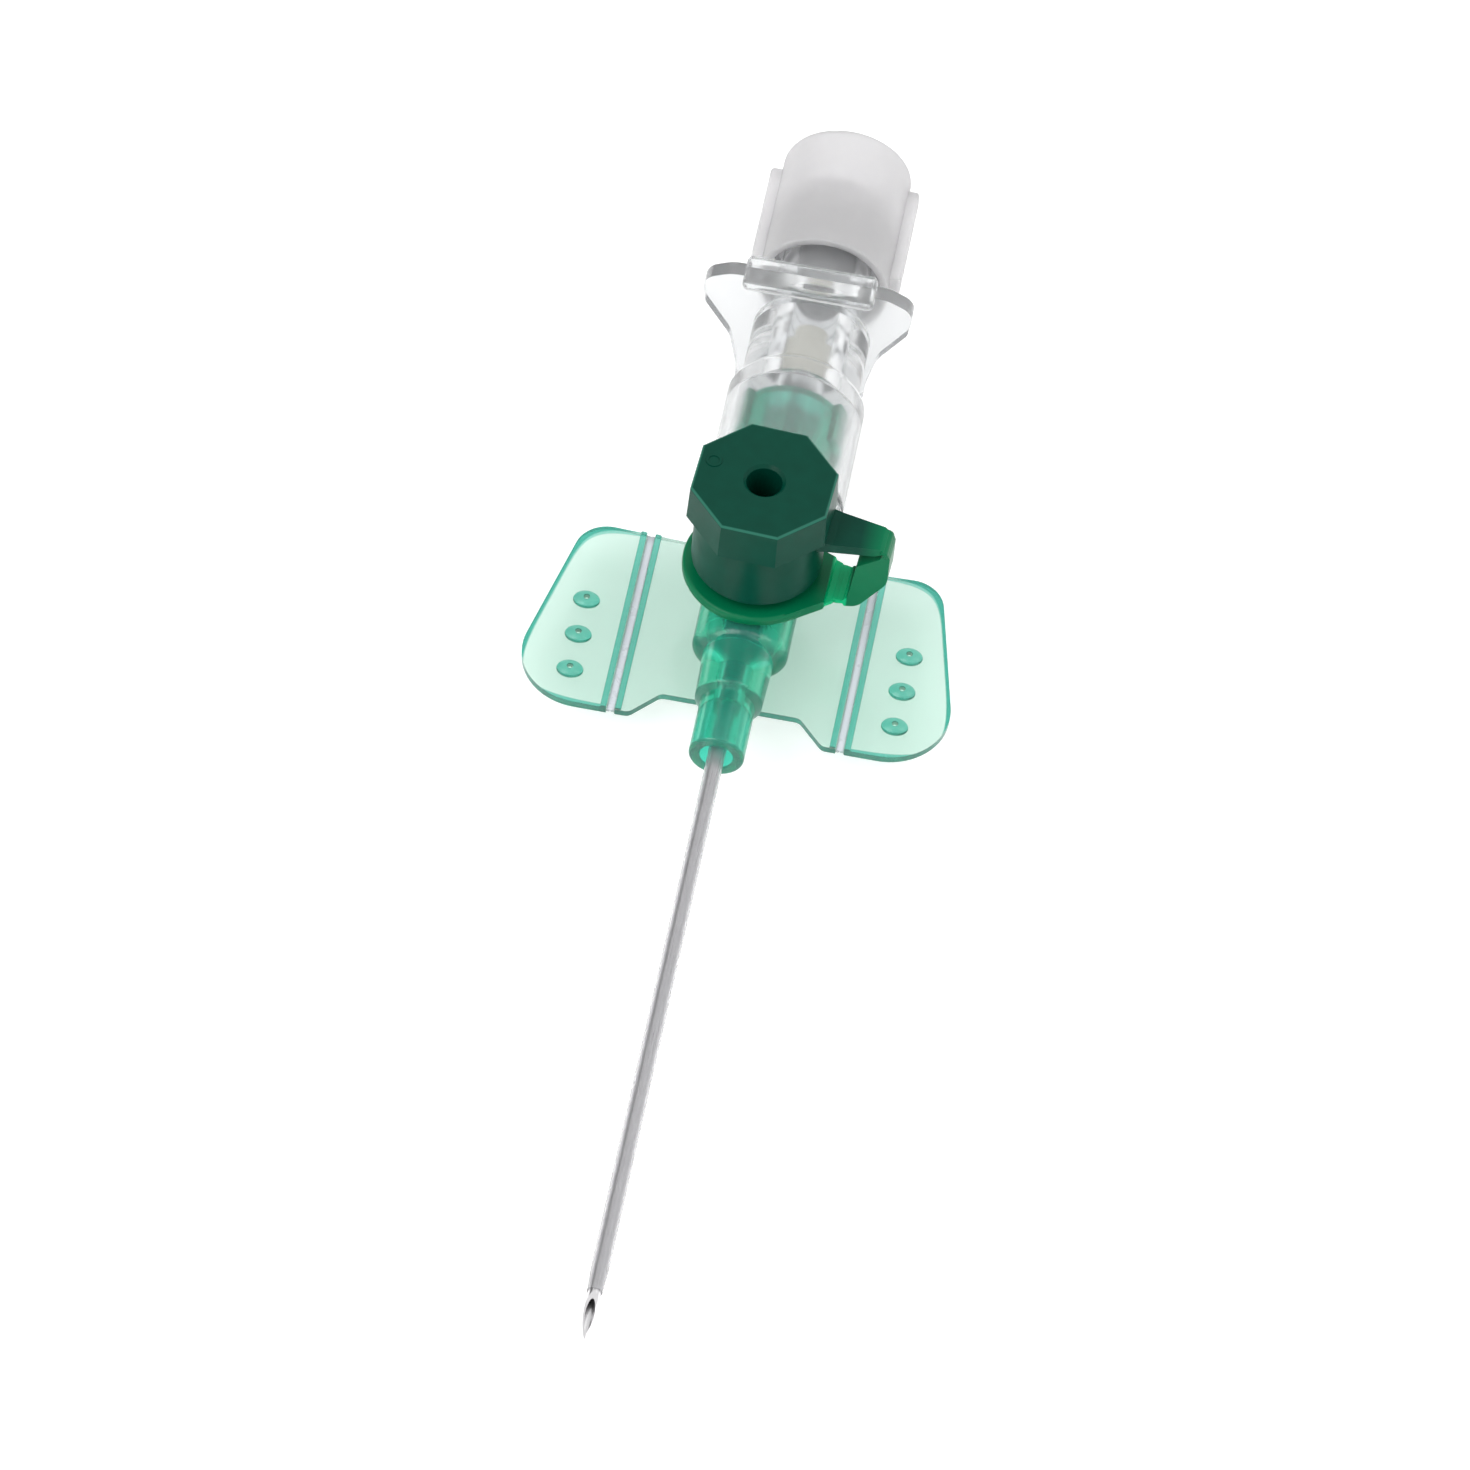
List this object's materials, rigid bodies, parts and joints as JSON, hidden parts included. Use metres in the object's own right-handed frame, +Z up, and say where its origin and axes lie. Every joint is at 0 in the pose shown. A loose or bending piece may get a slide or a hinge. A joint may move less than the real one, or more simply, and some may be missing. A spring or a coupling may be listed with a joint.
{
  "type": "intravenous cannula",
  "caption": "Winged peripheral intravenous cannula: needle inside a catheter, green hub with capped injection port and folding wings, clear needle grip with luer stopper.",
  "frame": {"origin": "underside of the wings straight below the axis of the injection port", "axes": "+Z up along the injection port's axis, +Y along the needle's axis from its tip towards the luer stopper, +X towards the right wing and the cap's strap, seen from behind the needle"},
  "size_m": [0.03, 0.103, 0.0179],
  "materials": {
    "needle_steel": "ground satin",
    "eyelet_steel": "satin",
    "catheter_clear": "clear fluoropolymer tube",
    "hub_green": "translucent green, glossy",
    "wing_green": "thin translucent green, glossy",
    "cap_green": "dark green, satin top",
    "strap_green": "dark green, semi-gloss",
    "silicone": "milky silicone",
    "hub_clear": "clear moulded plastic",
    "holder_cream": "cream, satin",
    "stopper_frosted": "frosted translucent",
    "filter_white": "porous, matte"
  },
  "bodies": {
    "catheter": {"catheter_hub": "hub_green", "catheter_tube": "catheter_clear", "catheter_eyelet": "eyelet_steel", "port_valve": "silicone"},
    "needle_assembly": {"needle": "needle_steel", "needle_hub": "hub_clear", "needle_holder": "holder_cream"},
    "vent": {"vent_filter": "filter_white"},
    "stopper": {"luer_stopper": "stopper_frosted"},
    "cap_ring": {"cap_ring": "strap_green"},
    "cap_strap": {"cap_strap": "strap_green"},
    "port_cap": {"port_cap": "cap_green"},
    "right_wing": {"right_wing": "wing_green"},
    "left_wing": {"left_wing": "wing_green"}
  },
  "joints": [
    {"name": "needle_withdraw", "type": "slide", "parent": "catheter", "child": "needle_assembly", "axis": [0, 1, 0], "range_m": [0, 0.08]},
    {"name": "stopper_travel", "type": "slide", "parent": "needle_assembly", "child": "vent", "axis": [0, 1, 0], "range_m": [0, 0.005]},
    {"name": "stopper_turn", "type": "hinge", "parent": "vent", "child": "stopper", "pos_m": [0, 0.03305, 0.0031], "axis": [0, 1, 0], "range_deg": [0, 360]},
    {"name": "ring_swivel", "type": "hinge", "parent": "catheter", "child": "cap_ring", "pos_m": [0, 0, 0.00624], "axis": [0, 0, 1], "range_deg": [-60, 40]},
    {"name": "strap_hinge", "type": "hinge", "parent": "cap_ring", "child": "cap_strap", "pos_m": [0.00589, -0.00029, 0.00624], "axis": [0.0488, 0.9988, 0], "range_deg": [0, 40]},
    {"name": "cap_hinge", "type": "hinge", "parent": "cap_strap", "child": "port_cap", "pos_m": [0.00899, -0.00044, 0.01164], "axis": [0.0488, 0.9988, 0], "range_deg": [0, 110]},
    {"name": "right_wing_fold", "type": "hinge", "parent": "catheter", "child": "right_wing", "pos_m": [0.00802, 0, 0.00028], "axis": [0, -1, 0], "range_deg": [0, 60]},
    {"name": "left_wing_fold", "type": "hinge", "parent": "catheter", "child": "left_wing", "pos_m": [-0.00802, 0, 0.00028], "axis": [0, 1, 0], "range_deg": [0, 60]}
  ],
  "couplings": [
    {"joint": "stopper_turn", "follows": "stopper_travel", "rad_per_m": 1256.6},
    {"joint": "strap_hinge", "follows": "cap_hinge", "ratio": 0.36364}
  ]
}
